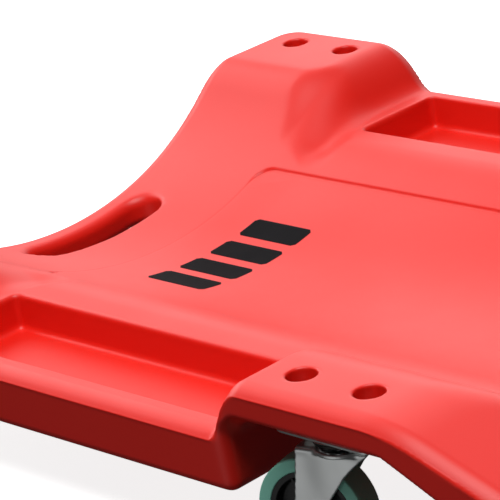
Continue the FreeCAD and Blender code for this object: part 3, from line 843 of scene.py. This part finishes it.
def build_caster_fasteners(fastener):
    """The plate bolts, each threaded from its washer up, and the domed nuts on them."""
    thread_start, bolt_top = CUP_LEVEL + 1.7, 97.0
    crests = [(PLATE_LOW - 1, 0.5), (PLATE_LOW - 1, 3.0), (thread_start, 3.0)]
    for level in np.arange(thread_start + 0.5, bolt_top - 0.8, 1.0):
        crests += [(level, 2.55), (level + 0.5, 3.0)]
    crests += [(bolt_top, 2.4), (bolt_top, 0.5)]
    one_bolt = gather([spindle(crests, 36), hex_solid(PLATE_LOW, PLATE_LOW - 3.1, BOLT_HEX)])
    one_nut = hex_solid(CUP_LEVEL + 1.6, CUP_LEVEL + 6.0, NUT_HEX, dome=0.8)
    upright = Matrix.Rotation(-math.pi / 2, 4, "Y")
    bolts, nuts = [], []
    for middle in PADS.values():
        for side in (-1, 1):
            for end in (-1, 1):
                spot = Matrix.Translation((side * CASTER_X, middle + end * BOLT_PITCH / 2, 0)) @ upright
                bolts.append(moved(one_bolt, spot))
                nuts.append(moved(one_nut, spot))
    for name, shapes in (("caster_bolts", bolts), ("caster_nuts", nuts)):
        piece(f"{name}_look", gather(shapes), fastener, "deck", "fastener_steel", name, sharp=25)


# ---------------------------------------------------------------- printed mark

def build_mark():
    """A row of four plain printed blocks on the deck, closed sheets that follow its surface."""
    material, shader = new_material("black_print", (0.004, 0.004, 0.005), 0.8)
    shader.inputs["Specular IOR Level"].default_value = 0.07
    noise_bump(material, shader, 900.0, 0.12)
    vary_roughness(material, shader, 0.7, 0.85, 30.0)
    shapes = []
    half_y = (MARK["y"][1] - MARK["y"][0]) / 2
    share = np.linspace(-1, 1, MARK["rows"])
    across, along = np.meshgrid(share, share, indexing="ij")
    squeeze = 1 - MARK["squeeze"] * np.maximum(np.abs(across) - MARK["corner"], 0) / (1 - MARK["corner"])
    for start in np.linspace(MARK["x"][0], MARK["x"][1] - MARK["block"], MARK["blocks"]):
        x = start + MARK["block"] * (1 + across) / 2
        y = sum(MARK["y"]) / 2 + half_y * along * squeeze
        top = top_height(x.ravel(), y.ravel()).reshape(x.shape)
        upper = np.stack([x, y, top + MARK["above"]], 2)
        lower = np.stack([x, y, top - MARK["below"]], 2)
        rows = [np.concatenate([upper[i], lower[i][::-1]]) for i in range(len(share))]
        shapes.append(skin(rows))
    piece("printed_mark", gather(shapes), material, "deck", "black_nylon", sharp=40)


# ---------------------------------------------------------------- headrest

def cushion_shape(low, high):
    """The pad before it swells: a rounded block, a little smaller than its space, domed at the top."""
    middle = (low + high) / 2
    half = (high - low) / 2
    reach_x, reach_y = half[:2] - 2.5
    plan = rounded([(-reach_x, -reach_y), (reach_x, -reach_y), (reach_x, reach_y), (-reach_x, reach_y)],
                   20.0, 8)
    loops = []
    for level, inset in ((low[2] + 0.2, 2.0), (low[2] + 3, 0.0), (low[2] + 9, 0.0), (high[2] - 8, 1.5),
                         (high[2] - 4, 6.0), (high[2] - 2.5, 14.0)):
        shrink = 1 - inset / half[:2]
        loops.append(np.column_stack([plan * shrink + middle[:2], np.full(len(plan), level)]))
    return skin(loops)


def vertex_places(made):
    """Where each vertex of an object is, in metres."""
    return np.array([vertex.co for vertex in made.data.vertices])


def swell(pad, low, high):
    """A short cloth simulation under pressure. The underside is held, and no point moves far."""
    last_frame = 20
    held_depth = 2                          # millimetres, like low and high
    farthest_move, above = 0.006, 0.002     # metres, like the mesh
    before = vertex_places(pad)
    held = pad.vertex_groups.new(name="held")
    under = [index for index, point in enumerate(before) if point[2] < (low[2] + held_depth) * MM]
    held.add(under, 1.0, "REPLACE")
    cloth = pad.modifiers.new("cloth", "CLOTH")
    cloth.settings.use_pressure = True
    cloth.settings.uniform_pressure_force = 4.0
    cloth.settings.effector_weights.gravity = 0.0
    cloth.settings.vertex_group_mass = "held"
    cloth.settings.quality = 6
    scene = bpy.context.scene
    for number in range(1, last_frame + 1):
        scene.frame_set(number)
    bpy.ops.object.modifier_apply(modifier="cloth")
    scene.frame_set(1)
    move = vertex_places(pad) - before
    size = np.linalg.norm(move, axis=1)
    scale = np.where(size > farthest_move, farthest_move / np.maximum(size, 1e-9), 1.0)
    after = before + move * scale[:, None]
    after[:, 2] = np.clip(after[:, 2], low[2] * MM, high[2] * MM + above)
    pad.data.vertices.foreach_set("co", after.ravel())


def build_cushion(material):
    """A foam pad under vinyl, swollen by a short cloth simulation, on its board."""
    low, high = (np.array(corner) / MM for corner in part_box("headrest_cushion"))
    vertices, faces = cushion_shape(low, high)
    pad = mesh_object("headrest_pad", vertices * MM, faces)
    bpy.context.view_layer.objects.active = pad
    pad.select_set(True)
    remesh = pad.modifiers.new("remesh", "REMESH")
    remesh.mode = "VOXEL"
    remesh.voxel_size = 0.005
    bpy.ops.object.modifier_apply(modifier="remesh")
    swell(pad, low, high)
    smooth = pad.modifiers.new("subdivision", "SUBSURF")
    smooth.levels = smooth.render_levels = 1
    bpy.ops.object.modifier_apply(modifier="subdivision")
    pad.data.polygons.foreach_set("use_smooth", [True] * len(pad.data.polygons))
    pad.select_set(False)
    pad.data.materials.append(material)
    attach(pad, "deck")
    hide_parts("headrest_cushion")


# ---------------------------------------------------------------- stage, light and camera

# Each softbox: its name, its place, the point it faces, its side and its power in watts.
SOFTBOXES = (("top_softbox", (0.75, 0.2, 2.6), (0, -0.1, 0.05), 1.4, 70.0),
             ("back_softbox", (-2.0, -1.6, 1.3), (0, -0.3, 0.08), 1.6, 8.0),
             ("foot_softbox", (0.0, -1.6, 0.95), (0, -0.35, 0.07), 1.2, 11.0))
CAMERA_PLACE = (1.1569, 1.0027, 0.7063)
CAMERA_RIGHT = (-0.7045, 0.6930, -0.1530)
CAMERA_FORWARD = (-0.6177, -0.7049, -0.3486)
SENSOR_WIDTH, LENS = 36.0, 212.292


def build_stage():
    """A pale floor that lights itself, the world round it, and three softboxes."""
    bpy.ops.mesh.primitive_plane_add(size=12, location=(0, 0, 0))
    floor = bpy.context.object
    floor.name = "floor"
    floor.visible_diffuse = False
    floor.visible_glossy = False
    material, shader = new_material("floor_white", (0.6, 0.6, 0.6), 0.9)
    shader.inputs["Emission Color"].default_value = (1, 1, 1, 1)
    shader.inputs["Emission Strength"].default_value = 0.85
    floor.data.materials.append(material)

    build_world()
    for name, place, aim, size, power in SOFTBOXES:
        lamp = bpy.data.lights.new(name, "AREA")
        lamp.size = size
        lamp.energy = power
        holder = bpy.data.objects.new(name, lamp)
        holder.location = place
        holder.rotation_euler = (Vector(aim) - Vector(place)).to_track_quat("-Z", "Y").to_euler()
        bpy.context.scene.collection.objects.link(holder)


def build_world():
    """A pale studio: bright beyond the foot end's left corner, dim elsewhere, with a low card on the right.

    The camera itself sees it as plain white.
    """
    world = bpy.data.worlds.new("studio")
    world.use_nodes = True
    nodes, links = world.node_tree.nodes, world.node_tree.links
    place = nodes.new("ShaderNodeTexCoord")

    def glow(direction, start, end, strength):
        """Light that grows from start to end, as the cosine of the angle to a direction."""
        facing = nodes.new("ShaderNodeVectorMath")
        facing.operation = "DOT_PRODUCT"
        facing.inputs[1].default_value = direction
        spread = nodes.new("ShaderNodeMapRange")
        spread.interpolation_type = "SMOOTHSTEP"
        limits = {"From Min": start, "From Max": end, "To Min": 0.0, "To Max": strength}
        for socket, number in limits.items():
            spread.inputs[socket].default_value = number
        links.new(place.outputs["Generated"], facing.inputs[0])
        links.new(facing.outputs["Value"], spread.inputs["Value"])
        return spread.outputs["Result"]

    def mixed(kind, first, second):
        """Two strengths joined by one operation."""
        node = nodes.new("ShaderNodeMath")
        node.operation = kind
        links.new(first, node.inputs[0])
        links.new(second, node.inputs[1])
        return node.outputs["Value"]

    back = mixed("MULTIPLY", glow((-0.62, -0.70, 0.35), 0.42, 0.95, 1.02),
                 glow((0, 0, 1), -0.12, 0.04, 1.0))
    card = glow((0.95, -0.10, -0.30), 0.80, 0.97, 0.45)
    total = nodes.new("ShaderNodeMath")
    total.operation = "ADD"
    total.inputs[1].default_value = 0.045
    links.new(mixed("ADD", back, card), total.inputs[0])
    seen = nodes.new("ShaderNodeLightPath").outputs["Is Camera Ray"]
    shown = mixed("MAXIMUM", total.outputs["Value"], seen)
    links.new(shown, nodes["Background"].inputs["Strength"])
    nodes["Background"].inputs["Color"].default_value = (1, 1, 1, 1)
    bpy.context.scene.world = world


def build_camera():
    """A long lens that looks down at the foot end from beyond the head end's right corner."""
    place, right, forward = Vector(CAMERA_PLACE), Vector(CAMERA_RIGHT), Vector(CAMERA_FORWARD)
    camera = bpy.data.objects.new("camera", bpy.data.cameras.new("camera"))
    back = -forward.normalized()
    right = (right - back * right.dot(back)).normalized()
    up = back.cross(right)
    turn = Matrix((right, up, back)).transposed().to_4x4()
    camera.matrix_world = Matrix.Translation(place) @ turn
    camera.data.sensor_width = SENSOR_WIDTH
    camera.data.lens = LENS
    camera.data.clip_start = 0.01
    bpy.context.scene.collection.objects.link(camera)
    bpy.context.scene.camera = camera
    bpy.context.scene.view_settings.view_transform = "Standard"


build_camera()
build_stage()
materials = dress_cad_nodes()
build_deck()
build_casters(materials["zinc_steel"], materials["fastener_steel"], materials["green_rubber"],
              materials["black_nylon"])
build_caster_fasteners(materials["fastener_steel"])
build_mark()
build_cushion(materials["black_vinyl"])
bpy.context.view_layer.update()
